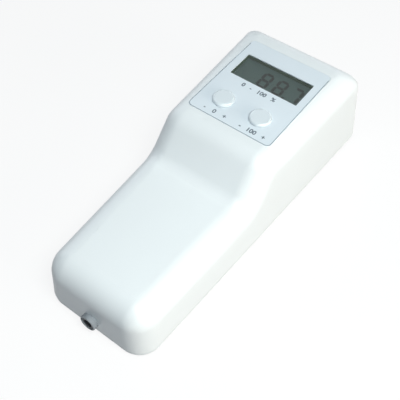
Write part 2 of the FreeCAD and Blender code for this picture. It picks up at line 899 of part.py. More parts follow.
def detector_board():
    y = from_back(port_from_back)
    half = detector_length / 2
    board = slab(detector_width / 2, y - half, y + half, block_top, block_top + detector_thickness)
    for x, hole_y in detector_screw_places():
        board = board.cut(rod(small_screw_radius + screw_clearance, x, hole_y, 0, big))
    return board


def detector_amplifier():
    y = from_back(port_from_back)
    low = block_top + detector_thickness
    half = amplifier_length / 2
    return slab(amplifier_width / 2, y - half, y + half, low, low + amplifier_height)


def rubber_feet():
    feet = []
    for side in (-1, 1):
        y = from_grip_end(rubber_foot_y)
        foot = rod(rubber_foot_radius, side * rubber_foot_x, y, 0, ground_gap + foot_seat)
        edge = [edge for edge in foot.Edges if edge.BoundBox.ZMax < hair]
        feet.append(foot.makeFillet(foot_edge_radius, edge))
    return Part.makeCompound(feet)


def case_screws():
    screws = []
    for x, y in boss_places():
        seat = ground_gap + case_screw_head_height
        head = rod(case_screw_head_radius, x, y, ground_gap, seat)
        shank = rod(case_screw_radius, x, y, seat, ground_gap + case_screw_length)
        screw = head.fuse(shank)
        recess_top = ground_gap + cross_depth
        reach = cross_reach
        half = cross_width / 2
        across = box(x - reach, x + reach, y - half, y + half, 0, recess_top)
        along = box(x - half, x + half, y - reach, y + reach, 0, recess_top)
        screws.append(screw.cut(across.fuse(along)))
    return Part.makeCompound(screws)


def wire(points):
    """Round wire through the points, straight runs joined by arcs as large as they allow."""
    edges = []
    last = points[0]
    for before, corner, after in zip(points, points[1:], points[2:]):
        run = min((corner - before).Length, (after - corner).Length)
        half_turn = (before - corner).getAngle(after - corner) / 2
        radius = min(wire_bend, wire_arc_share * run * math.tan(half_turn))
        arc = corner_arc(before, corner, after, radius)
        edges.append(Part.makeLine(last, arc[0]))
        edges.append(Part.Arc(*arc).toShape())
        last = arc[2]
    edges.append(Part.makeLine(last, points[-1]))
    circle = Part.makeCircle(wire_radius, points[0], points[1] - points[0])
    return Part.Wire(edges).makePipeShell([Part.Wire(circle)], True, False)


def wires(routes):
    return Part.makeCompound([wire(route) for route in routes])


def up_to_board(x, low):
    """Last two points of a wire that ends on the underside of the board's near edge."""
    y = from_back(board_from_back) + 2 * wire_spacing
    return [vec(x, y, low), vec(x, y, board_bottom)]


def battery_wires():
    """Two wires from the snap, out of the battery compartment and up to the main board."""
    start = battery_start() + battery_length + snap_thickness
    bend = from_grip_end(bay_start) + bay_length + bay_wall + wire_bend
    routes = []
    for side in (-1, 1):
        x = side * wire_spacing / 2
        first = [vec(x, start, bay_exit_height()), vec(x, bend, bay_exit_height())]
        routes.append(first + up_to_board(3 * x, board_bottom - 2 * wire_bend))
    return wires(routes)


def socket_wires():
    """Two wires from the supply socket, over the battery compartment to the main board."""
    lean = math.radians(case_draft)
    over = cover_top + bay_height + bay_wall + 2 * wire_spacing
    bay_near = from_grip_end(bay_start) - bay_wall
    rise = from_back(slope_foot_from_back)
    routes = []
    for x, depth in ((0, socket_barrel_length + wall), (wire_spacing, socket_barrel_length)):
        y = from_grip_end(socket_height * draft) + depth * math.cos(lean)
        z = socket_height - depth * math.sin(lean)
        bend = bay_near - wire_spacing / 2
        level = z - (bend - y) * math.tan(lean)
        first = [vec(x, y, z), vec(x, bend, level), vec(x, bend, over), vec(x, rise, over)]
        routes.append(first + up_to_board(x + 3 * wire_spacing, board_bottom - wire_bend))
    return wires(routes)


def switch_wires():
    """Two wires from the rocker switch's terminals up to the main board."""
    lean = math.radians(case_draft)
    depth = switch_body_depth + terminal_length
    routes = []
    for side in (-1, 1):
        x = side * terminal_spacing / 2
        points = []
        for reach in (depth, depth + wire_bend / 2):
            y = y_back - switch_height * draft - reach * math.cos(lean)
            points.append(vec(x, y, switch_height - reach * math.sin(lean)))
        routes.append(points + [vec(x, points[-1].y, board_bottom)])
    return wires(routes)


def lamp_wires():
    """Two wires from the back of each lamp holder straight up to the edge of the main board."""
    middle = from_back(port_from_back)
    lean = math.radians(lamp_angle)
    start = lamp_face + holder_flange
    bend = start + wire_bend / 2
    routes = []
    for side in (-1, 1):
        for y in (middle - wire_spacing / 2, middle + wire_spacing / 2):
            x = side * bend * math.sin(lean)
            first = vec(side * start * math.sin(lean), y, start * math.cos(lean))
            routes.append([first, vec(x, y, bend * math.cos(lean)), vec(x, y, board_bottom)])
    return wires(routes)


def detector_wires():
    """Three wires from the detector board to the main board above it."""
    near = from_back(port_from_back) + detector_length / 4
    far = near + wire_spacing
    low = block_top + detector_thickness
    straight = wire_bend / 2
    routes = []
    for x in (-wire_spacing, 0, wire_spacing):
        routes.append([vec(x, near, low), vec(x, near, low + straight),
                       vec(x, far, board_bottom - straight), vec(x, far, board_bottom)])
    return wires(routes)


def all_parts():
    block_seat = block_bottom + block_flange
    detector_seat = block_top + detector_thickness
    return {
        "upper_shell": upper_shell(),
        "base_cover": base_cover(),
        "battery_door": battery_door(),
        "battery_compartment": battery_compartment(),
        "battery": battery(),
        "battery_snap": battery_snap(),
        "battery_pad": battery_pad(),
        "panel_overlay": panel_overlay(),
        "display_window": display_window(),
        "lcd_frame": lcd_frame(),
        "lcd_glass": lcd_glass(),
        "lcd_contact_strips": lcd_contact_strips(),
        "main_board": main_board(),
        "board_screws": board_screws(),
        "converter_chip": converter_chip(),
        "zero_pot_body": pot_body(-1),
        "correction_pot_body": pot_body(1),
        "zero_shaft": pot_shaft(-1),
        "correction_shaft": pot_shaft(1),
        "zero_knob": knob(-1),
        "correction_knob": knob(1),
        "socket_collar": socket_collar(),
        "dc_socket_body": dc_socket_body(),
        "dc_socket_pin": dc_socket_pin(),
        "dc_socket_nut": dc_socket_nut(),
        "switch_housing": switch_housing(),
        "switch_rocker": switch_rocker(),
        "switch_terminals": switch_terminals(),
        "port_ring": port_ring(),
        "port_window": port_window(),
        "optics_block": optics_block(),
        "optics_screws": small_screws(block_screw_places(), block_seat),
        "lamp_holders": lamp_holders(),
        "lamp_left": lamp(-1),
        "lamp_right": lamp(1),
        "condenser_lenses": condenser_lenses(),
        "blue_filter": blue_filter(),
        "filter_ring": filter_ring(),
        "photodiode": photodiode(),
        "detector_board": detector_board(),
        "detector_screws": small_screws(detector_screw_places(), detector_seat),
        "detector_amplifier": detector_amplifier(),
        "battery_wires": battery_wires(),
        "socket_wires": socket_wires(),
        "switch_wires": switch_wires(),
        "lamp_wires": lamp_wires(),
        "detector_wires": detector_wires(),
        "rubber_feet": rubber_feet(),
        "case_screws": case_screws(),
    }


def main():
    os.makedirs("parts", exist_ok=True)
    for name, shape in all_parts().items():
        bounds = shape.BoundBox
        size = [round(length, 2) for length in (bounds.XLength, bounds.YLength, bounds.ZLength)]
        print(name, len(shape.Solids), "solids, valid", shape.isValid(), "size", size)
        shape.exportStep("parts/" + name + ".step")


main()
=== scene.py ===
# %% [markdown]
# # Dressing a handheld whiteness meter
#
# A whiteness meter is a small white instrument. It stands on a sample, shines a beam on it through
# a port in its underside, and shows the reading on a liquid crystal display. Its construction comes
# as a finished assembly of separate pieces, at real size. This lesson adds what the eye meets: the
# finish of each piece, the printing on the panel, the digits in the display, a plain stage, a
# camera and soft light.

# %% Load the assembly
import bmesh
import bpy
import math
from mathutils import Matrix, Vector


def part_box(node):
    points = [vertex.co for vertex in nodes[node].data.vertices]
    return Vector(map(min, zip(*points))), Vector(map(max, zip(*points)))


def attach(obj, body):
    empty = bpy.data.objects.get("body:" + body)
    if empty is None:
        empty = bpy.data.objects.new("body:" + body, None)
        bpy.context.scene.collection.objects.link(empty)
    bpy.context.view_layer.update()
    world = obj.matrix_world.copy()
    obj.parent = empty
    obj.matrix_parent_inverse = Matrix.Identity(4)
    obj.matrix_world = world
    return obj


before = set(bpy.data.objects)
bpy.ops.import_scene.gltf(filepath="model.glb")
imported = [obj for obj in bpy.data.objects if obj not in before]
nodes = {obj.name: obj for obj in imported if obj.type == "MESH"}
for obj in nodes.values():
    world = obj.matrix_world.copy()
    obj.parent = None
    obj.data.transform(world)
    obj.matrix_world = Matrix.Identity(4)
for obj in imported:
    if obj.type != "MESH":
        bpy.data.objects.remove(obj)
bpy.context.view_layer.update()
mm = 0.001

# %% [markdown]
# ## Colour
#
# Colours are written as sRGB hex values, as a colour picker gives them. Shaders calculate with
# linear light, so one function turns a hex value into linear red, green and blue.

# %% Turn a hex colour into linear light


def linear(hex_colour):
    """Linear RGBA of an sRGB colour such as "eef3f4"."""
    channels = [int(hex_colour[i:i + 2], 16) / 255 for i in (0, 2, 4)]
    return [c / 12.92 if c <= 0.04045 else ((c + 0.055) / 1.055) ** 2.4 for c in channels] + [1.0]


def scaled(colour, share):
    """The same colour with that share of its light."""
    return [c * share for c in colour[:3]] + [1.0]


print("mid grey", [round(c, 3) for c in linear("808080")])

# %% [markdown]
# ## Building materials from nodes
#
# Each material is a small tree of nodes. One function adds a node, sets its values and joins its
# inputs, so that a material reads from top to bottom as a recipe. Patterns use the object's own
# coordinates, in metres. A pattern's scale is one over the size of what it draws, so a grain of
# 0.4 mm has a scale of 1 / 0.0004.

# %% Add one node


def add_node(tree, kind, values=None, links=None, **settings):
    """A new node with its settings, the values of its sockets and what its sockets are joined to."""
    node = tree.nodes.new(kind)
    for setting, value in settings.items():
        setattr(node, setting, value)
    for socket, value in (values or {}).items():
        node.inputs[socket].default_value = value
    for socket, source in (links or {}).items():
        tree.links.new(source, node.inputs[socket])
    return node


def new_material(name):
    """A material with an empty tree."""
    material = bpy.data.materials.new(name)
    material.use_nodes = True
    material.node_tree.nodes.clear()
    return material, material.node_tree


def finish_surface(tree, values, links):
    """The shader that ends most recipes, joined to the material's output."""
    shader = add_node(tree, "ShaderNodeBsdfPrincipled", values, links)
    add_node(tree, "ShaderNodeOutputMaterial", links={"Surface": shader.outputs["BSDF"]})


print("node helpers ready")

# %% [markdown]
# ## Moulded plastics
#
# Most of the meter is injection-moulded plastic. The white case is ABS. Its steel mould was
# finished by spark erosion, which leaves a fine grain that breaks up highlights without hiding
# them. The colour goes right through, so no paint edge shows. Three things give this to the eye:
# a soft highlight from a middling roughness, a grain in the surface, and a colour that drifts by a
# hair over some centimetres, where the plastic flowed and cooled. The real grain is about 0.1 mm,
# too fine for the render, so it is drawn at 0.4 mm.

# %% A recipe for moulded plastic
plastic_ior = 1.53
tool_grain = 0.4 * mm
flow_size = 30 * mm


def moulded(name, colour, roughness, relief=0.006 * mm, drift=0.97, spread=0.05):
    """Injection-moulded plastic with the grain of its mould."""
    material, tree = new_material(name)
    place = add_node(tree, "ShaderNodeTexCoord").outputs["Object"]
    grain = add_node(tree, "ShaderNodeTexNoise", {"Scale": 1 / tool_grain, "Detail": 2.0}, {"Vector": place})
    flow = add_node(tree, "ShaderNodeTexNoise", {"Scale": 1 / flow_size, "Detail": 1.0}, {"Vector": place})
    body = linear(colour)
    tint = add_node(tree, "ShaderNodeMix", {6: scaled(body, drift), 7: body},
                    {0: flow.outputs["Fac"]}, data_type="RGBA")
    gloss = add_node(tree, "ShaderNodeMapRange", {"To Min": roughness - spread, "To Max": roughness + spread},
                     {"Value": grain.outputs["Fac"]})
    surface = add_node(tree, "ShaderNodeBump", {"Strength": 1.0, "Distance": relief},
                       {"Height": grain.outputs["Fac"]})
    finish_surface(tree, {"IOR": plastic_ior},
                   {"Base Color": tint.outputs[2], "Roughness": gloss.outputs["Result"],
                    "Normal": surface.outputs["Normal"]})
    return material


case_abs = moulded("white_abs_spark_grain", "eff3f4", 0.36)
cover_abs = moulded("white_abs_fine_grain", "e9eeef", 0.42)
knob_abs = moulded("white_abs_polished", "e0e8ec", 0.22, relief=0.001 * mm, spread=0.02)
print("white plastics", case_abs.name, cover_abs.name, knob_abs.name)

# %% [markdown]
# The dark mouldings are nylon, acetal and ABS. Nylon comes out of the mould slightly waxy, acetal
# slick, and the optical block is deliberately matt, because stray light would spoil the reading.

# %% Dark and technical plastics
collar_nylon = moulded("mid_grey_nylon", "8b9196", 0.45)
socket_nylon = moulded("dark_grey_nylon", "2b2f33", 0.45)
switch_nylon = moulded("black_nylon", "1b1c1e", 0.48)
rocker_nylon = moulded("black_nylon_satin", "17181a", 0.3, relief=0.002 * mm)
port_acetal = moulded("black_acetal", "141516", 0.33, relief=0.002 * mm)
block_matt = moulded("matt_black_moulding", "0e0e0f", 0.8, relief=0.02 * mm)
# The display frame's dark green is partly its own colour and partly painted shade of the recess round the
# display.
frame_colour_and_shade = moulded("dark_green_frame_and_painted_shade", "3c4f3e", 0.5)
bay_abs = moulded("black_abs", "1c1d1f", 0.5)
pot_nylon = moulded("blue_nylon", "2b3f66", 0.42)
shaft_acetal = moulded("natural_acetal", "e4e2d6", 0.32)
snap_vinyl = moulded("black_vinyl", "151515", 0.4)
chip_epoxy = moulded("moulded_epoxy", "1d1d1e", 0.62, relief=0.01 * mm)
print("dark plastics ready")

# %% [markdown]
# ## Printed film
#
# The panel is a film of polycarbonate, printed on its back in a pale blue-white and let into the
# case. Its front has a fine velvet texture. Dry rub marks are too faint to see on a new one, so
# only the texture and a slight unevenness of the ink are drawn. The numbers on it are screen-printed,
# and the mesh of the screen leaves such ink thinner and paler in small spots. The grey line round
# its edge is painted shade for the dark gap there, drawn with the same ink.

# %% Polycarbonate film
velvet_size = 0.25 * mm
velvet_relief = 0.004 * mm
polycarbonate_ior = 1.58
ink_patch = 12 * mm
film, film_tree = new_material("printed_polycarbonate_film")
film_place = add_node(film_tree, "ShaderNodeTexCoord").outputs["Object"]
velvet = add_node(film_tree, "ShaderNodeTexNoise", {"Scale": 1 / velvet_size, "Detail": 3.0},
                  {"Vector": film_place})
ink_drift = add_node(film_tree, "ShaderNodeTexNoise", {"Scale": 1 / ink_patch, "Detail": 2.0},
                     {"Vector": film_place})
film_tint = add_node(film_tree, "ShaderNodeMix", {6: linear("dde6ec"), 7: linear("e3ebf1")},
                     {0: ink_drift.outputs["Fac"]}, data_type="RGBA")
film_relief = add_node(film_tree, "ShaderNodeBump", {"Strength": 1.0, "Distance": velvet_relief},
                       {"Height": velvet.outputs["Fac"]})
finish_surface(film_tree, {"IOR": polycarbonate_ior, "Roughness": 0.42},
               {"Base Color": film_tint.outputs[2], "Normal": film_relief.outputs["Normal"]})
print("film ready")

# %% Printing inks
screen_mesh = 0.3 * mm
thin_ink = 1.5


def printed_ink(name, colour):
    """Screen-printed ink, a little paler where the mesh of the screen let less through."""
    material, tree = new_material(name)
    place = add_node(tree, "ShaderNodeTexCoord").outputs["Object"]
    mesh_marks = add_node(tree, "ShaderNodeTexNoise", {"Scale": 1 / screen_mesh, "Detail": 2.0},
                          {"Vector": place})
    ink = linear(colour)
    tint = add_node(tree, "ShaderNodeMix", {6: ink, 7: scaled(ink, thin_ink)},
                    {0: mesh_marks.outputs["Fac"]}, data_type="RGBA")
    finish_surface(tree, {"Roughness": 0.5}, {"Base Color": tint.outputs[2]})
    return material


slate_ink = printed_ink("slate_ink", "3e4a55")
# The grey line uses the ink recipe, but it is painted shade for the dark gap round the film's edge.
edge_shade_ink = printed_ink("grey_painted_edge_shade", "66737c")
white_ink = printed_ink("white_ink", "d8dadb")
print("inks", slate_ink.name, edge_shade_ink.name, white_ink.name)

# %% [markdown]
# ## Metals
#
# Screws are steel with a thin bright zinc coat, the socket's pin and nut are nickel on brass, and
# the switch has tinned brass terminals. A metal's look is its tinted reflection. Its roughness
# comes from how it was made: turned and plated parts show fine rings or streaks, drawn as a noise
# stretched along one axis.

# %% A recipe for plated metal
machining_mark = 0.2 * mm
machining_relief = 0.002 * mm
smooth_share, rough_share = 0.7, 1.4


def plated(name, colour, roughness, streak=(1.0, 1.0, 0.1)):
    """Plated metal with fine streaks along its machining."""
    material, tree = new_material(name)
    place = add_node(tree, "ShaderNodeTexCoord").outputs["Object"]
    along = add_node(tree, "ShaderNodeMapping", {"Scale": streak}, {"Vector": place})
    marks = add_node(tree, "ShaderNodeTexNoise", {"Scale": 1 / machining_mark, "Detail": 3.0},
                     {"Vector": along.outputs["Vector"]})
    gloss = add_node(tree, "ShaderNodeMapRange",
                     {"To Min": roughness * smooth_share, "To Max": roughness * rough_share},
                     {"Value": marks.outputs["Fac"]})
    relief = add_node(tree, "ShaderNodeBump", {"Strength": 1.0, "Distance": machining_relief},
                      {"Height": marks.outputs["Fac"]})
    finish_surface(tree, {"Base Color": linear(colour), "Metallic": 1.0},
                   {"Roughness": gloss.outputs["Result"], "Normal": relief.outputs["Normal"]})
    return material


bright_zinc = plated("bright_zinc_on_steel", "c3c6c9", 0.32)
nickel = plated("nickel_on_brass", "c9c5bb", 0.2, streak=(1.0, 0.1, 1.0))
tinned_brass = plated("tinned_brass", "c8b277", 0.34)
diode_can = plated("plated_can", "c6c2b0", 0.25)
anodised = plated("black_anodised_aluminium", "2a2a2b", 0.4)
print("metals ready")

# %% [markdown]
# ## Glass and clear acrylic
#
# The display window is a flat sheet of acrylic, the port has a pane of optical glass, and inside
# are lamps, lenses and a blue filter. A thin pane hardly bends light, so it is drawn as a clear
# layer that reflects a little. This lets the lamps of the scene through, as a real pane does, and
# keeps what lies behind in its right place. How much glass reflects depends on the slant. Straight
# on it is the square of (IOR - 1) / (IOR + 1), about one part in 25, and the rest comes in with the
# fifth power of the slant. The display window is coated on its back so that the digits can be read,
# and here every pane mirrors on its outer side only.

# %% A recipe for thin clear panes
dust_patch = 6 * mm
clean_haze, dusty_haze = 0.02, 0.09


def clear_pane(name, tint, ior):
    """A thin pane: clear straight on, and more of a mirror at a slant."""
    material, tree = new_material(name)
    through = add_node(tree, "ShaderNodeBsdfTransparent", {"Color": linear(tint)})
    place = add_node(tree, "ShaderNodeTexCoord").outputs["Object"]
    dust = add_node(tree, "ShaderNodeTexNoise", {"Scale": 1 / dust_patch, "Detail": 2.0}, {"Vector": place})
    haze = add_node(tree, "ShaderNodeMapRange", {"To Min": clean_haze, "To Max": dusty_haze},
                    {"Value": dust.outputs["Fac"]})
    mirror = add_node(tree, "ShaderNodeBsdfGlossy", {"Color": linear("ffffff")},
                      {"Roughness": haze.outputs["Result"]})
    straight_on = ((ior - 1) / (ior + 1)) ** 2
    slant = add_node(tree, "ShaderNodeLayerWeight", {"Blend": 0.5})
    fifth_power = add_node(tree, "ShaderNodeMath", {1: 5.0}, {0: slant.outputs["Facing"]}, operation="POWER")
    share = add_node(tree, "ShaderNodeMapRange", {"To Min": straight_on, "To Max": 1.0},
                     {"Value": fifth_power.outputs["Value"]})
    inside = add_node(tree, "ShaderNodeNewGeometry").outputs["Backfacing"]
    outside = add_node(tree, "ShaderNodeMath", {0: 1.0}, {1: inside}, operation="SUBTRACT")
    outer_share = add_node(tree, "ShaderNodeMath", operation="MULTIPLY",
                           links={0: share.outputs["Result"], 1: outside.outputs["Value"]})
    shader = add_node(tree, "ShaderNodeMixShader",
                      links={0: outer_share.outputs["Value"], 1: through.outputs["BSDF"],
                             2: mirror.outputs["BSDF"]})
    add_node(tree, "ShaderNodeOutputMaterial", links={"Surface": shader.outputs["Shader"]})
    return material


clear_acrylic = clear_pane("clear_acrylic", "f1f6f4", 1.49)
optical_glass = clear_pane("optical_glass", "eef5f2", 1.52)
lamp_glass = clear_pane("lamp_envelope_glass", "f3f0e4", 1.52)
lens_glass = clear_pane("ground_lens_glass", "eef3f5", 1.6)
blue_glass = clear_pane("blue_filter_glass", "5a7fe0", 1.52)
print("clear materials ready")

# %% [markdown]
# ## Boards, display, battery, rubber and wire
#
# The circuit boards are glass cloth in epoxy under a green mask. Copper tracks show through the
# mask as slightly lighter, slightly raised lines. The display is a sandwich of glass with a
# reflector behind it. Its front is a polarising film with a dull face, so it looks like dark
# grey-green paper. The battery is a lacquered can, the feet are rubber, and the wires are vinyl.

# %% Circuit board
track_pitch = 2.54 * mm
glass_thread = 0.8 * mm
thread_relief = 0.01 * mm
board, board_tree = new_material("green_glass_epoxy")
board_place = add_node(board_tree, "ShaderNodeTexCoord").outputs["Object"]
tracks = add_node(board_tree, "ShaderNodeTexBrick",
                  {"Scale": 1 / (4 * track_pitch), "Mortar Size": 0.06, "Mortar Smooth": 0.2,
                   "Color1": linear("1d5a34"), "Color2": linear("1a5230"), "Mortar": linear("3f8a55")},
                  {"Vector": board_place})
cloth = add_node(board_tree, "ShaderNodeTexWave", {"Scale": 1 / glass_thread, "Distortion": 1.0},
                 {"Vector": board_place})
board_relief = add_node(board_tree, "ShaderNodeBump", {"Strength": 0.5, "Distance": thread_relief},
                        {"Height": cloth.outputs["Fac"]})
finish_surface(board_tree, {"Roughness": 0.28},
               {"Base Color": tracks.outputs["Color"], "Normal": board_relief.outputs["Normal"]})
print("board ready")

# %% Display glass
reflector_grain = 0.3 * mm
display, display_tree = new_material("reflective_liquid_crystal")
display_place = add_node(display_tree, "ShaderNodeTexCoord").outputs["Object"]
reflector = add_node(display_tree, "ShaderNodeTexNoise", {"Scale": 1 / reflector_grain, "Detail": 2.0},
                     {"Vector": display_place})
display_tint = add_node(display_tree, "ShaderNodeMix", {6: linear("525e5e"), 7: linear("5c6868")},
                        {0: reflector.outputs["Fac"]}, data_type="RGBA")
finish_surface(display_tree, {"Roughness": 0.4, "Specular IOR Level": 0.25},
               {"Base Color": display_tint.outputs[2]})
print("display ready")

# %% Foam, rubber, vinyl and battery can
cell_shade = 0.75


def soft_rubber(name, colour, cell, relief, roughness=0.75):
    """Rubber or foam: matt, with cells or dust of that size."""
    material, tree = new_material(name)
    place = add_node(tree, "ShaderNodeTexCoord").outputs["Object"]
    cells = add_node(tree, "ShaderNodeTexVoronoi", {"Scale": 1 / cell}, {"Vector": place})
    base = linear(colour)
    tint = add_node(tree, "ShaderNodeMix", {6: scaled(base, cell_shade), 7: base},
                    {0: cells.outputs["Distance"]}, data_type="RGBA")
    surface = add_node(tree, "ShaderNodeBump", {"Strength": 1.0, "Distance": relief},
                       {"Height": cells.outputs["Distance"]})
    finish_surface(tree, {"Roughness": roughness},
                   {"Base Color": tint.outputs[2], "Normal": surface.outputs["Normal"]})
    return material


foot_rubber = soft_rubber("black_rubber", "242425", 0.5 * mm, 0.01 * mm)
grey_foam = soft_rubber("grey_foam", "5a5a5e", 0.9 * mm, 0.15 * mm, 0.9)
silicone = soft_rubber("layered_silicone", "d98ba8", 0.3 * mm, 0.005 * mm, 0.5)
red_vinyl = moulded("red_vinyl", "b3261e", 0.4)
black_vinyl = moulded("black_wire_vinyl", "1c1c1d", 0.4)
blue_vinyl = moulded("blue_vinyl", "2a52a8", 0.4)
can_lacquer = moulded("lacquered_steel_can", "2c3a55", 0.28, relief=0.001 * mm)
print("soft and electrical materials ready")

# %% [markdown]
# ## Dressing the pieces
#
# Each piece of the assembly gets its finish here. A list in one place makes it easy to see that
# nothing was left out, and the script stops if a piece has no finish.

# %% Give every piece its finish
finishes = {
    case_abs: ["upper_shell"],
    cover_abs: ["base_cover", "battery_door"],
    knob_abs: ["zero_knob", "correction_knob"],
    film: ["panel_overlay"],
    clear_acrylic: ["display_window"],
    frame_colour_and_shade: ["lcd_frame"],
    display: ["lcd_glass"],
    silicone: ["lcd_contact_strips"],
    board: ["main_board", "detector_board"],
    bright_zinc: ["board_screws", "optics_screws", "detector_screws", "case_screws"],
    chip_epoxy: ["converter_chip", "detector_amplifier"],
    pot_nylon: ["zero_pot_body", "correction_pot_body"],
    shaft_acetal: ["zero_shaft", "correction_shaft"],
    collar_nylon: ["socket_collar"],
    socket_nylon: ["dc_socket_body"],
    nickel: ["dc_socket_pin", "dc_socket_nut"],
    switch_nylon: ["switch_housing"],
    rocker_nylon: ["switch_rocker"],
    tinned_brass: ["switch_terminals"],
    port_acetal: ["port_ring", "lamp_holders"],
    optical_glass: ["port_window"],
    block_matt: ["optics_block"],
    lamp_glass: ["lamp_left", "lamp_right"],
    lens_glass: ["condenser_lenses"],
    blue_glass: ["blue_filter"],
    anodised: ["filter_ring"],
    diode_can: ["photodiode"],
    bay_abs: ["battery_compartment"],
    can_lacquer: ["battery"],
    snap_vinyl: ["battery_snap"],
    grey_foam: ["battery_pad"],
    foot_rubber: ["rubber_feet"],
    red_vinyl: ["battery_wires", "lamp_wires"],
    black_vinyl: ["socket_wires", "switch_wires"],
    blue_vinyl: ["detector_wires"],
}
for finish, names in finishes.items():
    for name in names:
        nodes[name].data.materials.clear()
        nodes[name].data.materials.append(finish)
dressed = [name for names in finishes.values() for name in names]
undressed = sorted(set(nodes) - set(dressed))
assert not undressed, undressed
print("dressed", len(dressed), "pieces")

# %% [markdown]
# ## Printing and painted shade on the panel
#
# A fine grey line runs round three sides of the panel, with small rounded corners. It is painted
# shade: a strip of ink only a few hundredths of a millimetre thick that stands for the dark gap round
# the film's edge, and it is left off the far side, where that shade does not show. The line is found
# from the panel's own box. A strip follows a path of points: at each point it has one vertex on
# either side, at the bottom and at the top.

# %% Add a piece to the scene


def new_piece(name, mesh_maker, finish, body="case"):
    """A piece from a bmesh, with its finish and the body that it rides on."""
    mesh = bpy.data.meshes.new(name)
    mesh_maker.to_mesh(mesh)
    mesh_maker.free()
    mesh.materials.append(finish)
    piece = bpy.data.objects.new(name, mesh)
    bpy.context.scene.collection.objects.link(piece)
    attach(piece, body)


print("piece helper ready")

# %% Draw a flat strip along a path


def arc_points(centre, radius, start, end, steps):
    """Points on an arc between two angles in degrees."""
    angles = [math.radians(start + (end - start) * i / steps) for i in range(steps + 1)]
    return [Vector((centre[0] + radius * math.cos(a), centre[1] + radius * math.sin(a))) for a in angles]


def flat_strip(path, width, z, thickness, closed=False):
    """A solid strip along a path in the plane; the ends of a closed path are joined."""
    maker = bmesh.new()
    rings = []
    last = len(path) - 1
    for i, point in enumerate(path):
        before = path[i - 1] if closed or i > 0 else point
        after = path[(i + 1) % len(path)] if closed or i < last else point
        ahead = (after - before).normalized()
        side = Vector((-ahead.y, ahead.x)) * width / 2
        top = z + thickness
        section = [(point + side, z), (point - side, z), (point - side, top), (point + side, top)]
        rings.append([maker.verts.new((p.x, p.y, height)) for p, height in section])
    following = rings[1:] + rings[:1] if closed else rings[1:]
    for one, two in zip(rings, following):
        for i in range(4):
            maker.faces.new((one[i], one[(i + 1) % 4], two[(i + 1) % 4], two[i]))
    if not closed:
        maker.faces.new(rings[0])
        maker.faces.new(rings[-1][::-1])
    bmesh.ops.recalc_face_normals(maker, faces=maker.faces)
    return maker


print("strip helpers ready")

# %% Paint the shade line round the panel
panel_low, panel_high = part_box("panel_overlay")
ink_thickness = 0.03 * mm
line_width = 0.35 * mm
line_inset = 0.3 * mm
line_corner = 2.7 * mm
line_end = 3.6 * mm
corner_steps = 10
left, right = panel_low.x + line_inset, panel_high.x - line_inset
near, far = panel_low.y + line_inset, panel_high.y - line_end
border = [Vector((left, far))]
border += arc_points((left + line_corner, near + line_corner), line_corner, 180, 270, corner_steps)
border += arc_points((right - line_corner, near + line_corner), line_corner, 270, 360, corner_steps)
border += [Vector((right, far))]
# Painted shade: this grey strip stands for the dark gap round the film's edge.
new_piece("panel_edge_shade_line", flat_strip(border, line_width, panel_high.z, ink_thickness),
          edge_shade_ink)
print("panel line, points", len(border))

# %% [markdown]
# Lettering is kept to plain numbers, as on a dial. Under the left knob stands 0, under the right
# one 100, and under the display the range of the scale. Blender's text objects carry them: each is
# a curve that is filled and given the thickness of the ink.

# %% Write a line of numbers
letter_weight = 0.09 * mm
letter_steps = 4


def printed_text(name, text, x, y, height):
    """A line of numbers, centred at x and y, lying on the panel."""
    curve = bpy.data.curves.new(name, "FONT")
    curve.body = text
    curve.size = height
    curve.align_x = "CENTER"
    curve.align_y = "CENTER"
    curve.extrude = ink_thickness / 2
    curve.offset = letter_weight
    curve.resolution_u = letter_steps
    curve.materials.append(slate_ink)
    piece = bpy.data.objects.new(name, curve)
    piece.location = (x, y, panel_high.z + ink_thickness / 2)
    bpy.context.scene.collection.objects.link(piece)
    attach(piece, "case")


def middle(node):
    """The middle of a piece's box."""
    low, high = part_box(node)
    return (low + high) / 2


print("text helper ready")

# %% Print the numbers
letter_height = 4.2 * mm
below_knob = 10.6 * mm
beside_knob = 1.5 * mm
below_window = 3.2 * mm
window_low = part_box("display_window")[0]
zero_knob = middle("zero_knob")
correction_knob = middle("correction_knob")
for name, text, knob in [("zero_number", "-    0    +", zero_knob),
                         ("full_scale_number", "-   100   +", correction_knob)]:
    printed_text(name, text, knob.x + beside_knob, knob.y - below_knob, letter_height)
printed_text("scale_number", "0   -   100   %", 0.0, window_low.y - below_window, letter_height)
print("numbers printed on the panel")

# %% [markdown]
# ## Digits of the display
#
# A display of this kind has three full digits of seven segments. Each segment that is switched on
# turns nearly black. The segments lie inside the glass a little above the reflector, so here they
# are thin plates just above the display's face. A segment is a bar with pointed ends, and the
# seven bars of a digit are placed by a small table of plain directions.

# %% Set out a digit of seven segments
lcd_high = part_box("lcd_glass")[1]
digit_height = 13.2 * mm
digit_width = 7.1 * mm
digit_pitch = 10.5 * mm
digit_shift = Vector((1.4, -0.6)) * mm
segment_width = 1.75 * mm
segment_gap = 0.2 * mm
segment_thickness = 0.1 * mm
digit_lift = 0.08 * mm
lit_segments = {"8": "abcdefg", "7": "abc"}

half_digit_width = (digit_width - segment_width) / 2
half_digit_height = (digit_height - segment_width) / 2
segment_ends = {
    "a": ((-1, 2), (1, 2)),
    "b": ((1, 2), (1, 0)),
    "c": ((1, 0), (1, -2)),
    "d": ((-1, -2), (1, -2)),
    "e": ((-1, 0), (-1, -2)),
    "f": ((-1, 2), (-1, 0)),
    "g": ((-1, 0), (1, 0)),
}
print("segments", len(segment_ends))

# %% Draw plates and segments


def add_plate(maker, outline, z, thickness):
    """Adds a closed plate with that outline to the mesh."""
    low = [maker.verts.new((p.x, p.y, z)) for p in outline]
    high = [maker.verts.new((p.x, p.y, z + thickness)) for p in outline]
    maker.faces.new(low[::-1])
    maker.faces.new(high)
    for i in range(len(outline)):
        j = (i + 1) % len(outline)
        maker.faces.new((low[i], low[j], high[j], high[i]))


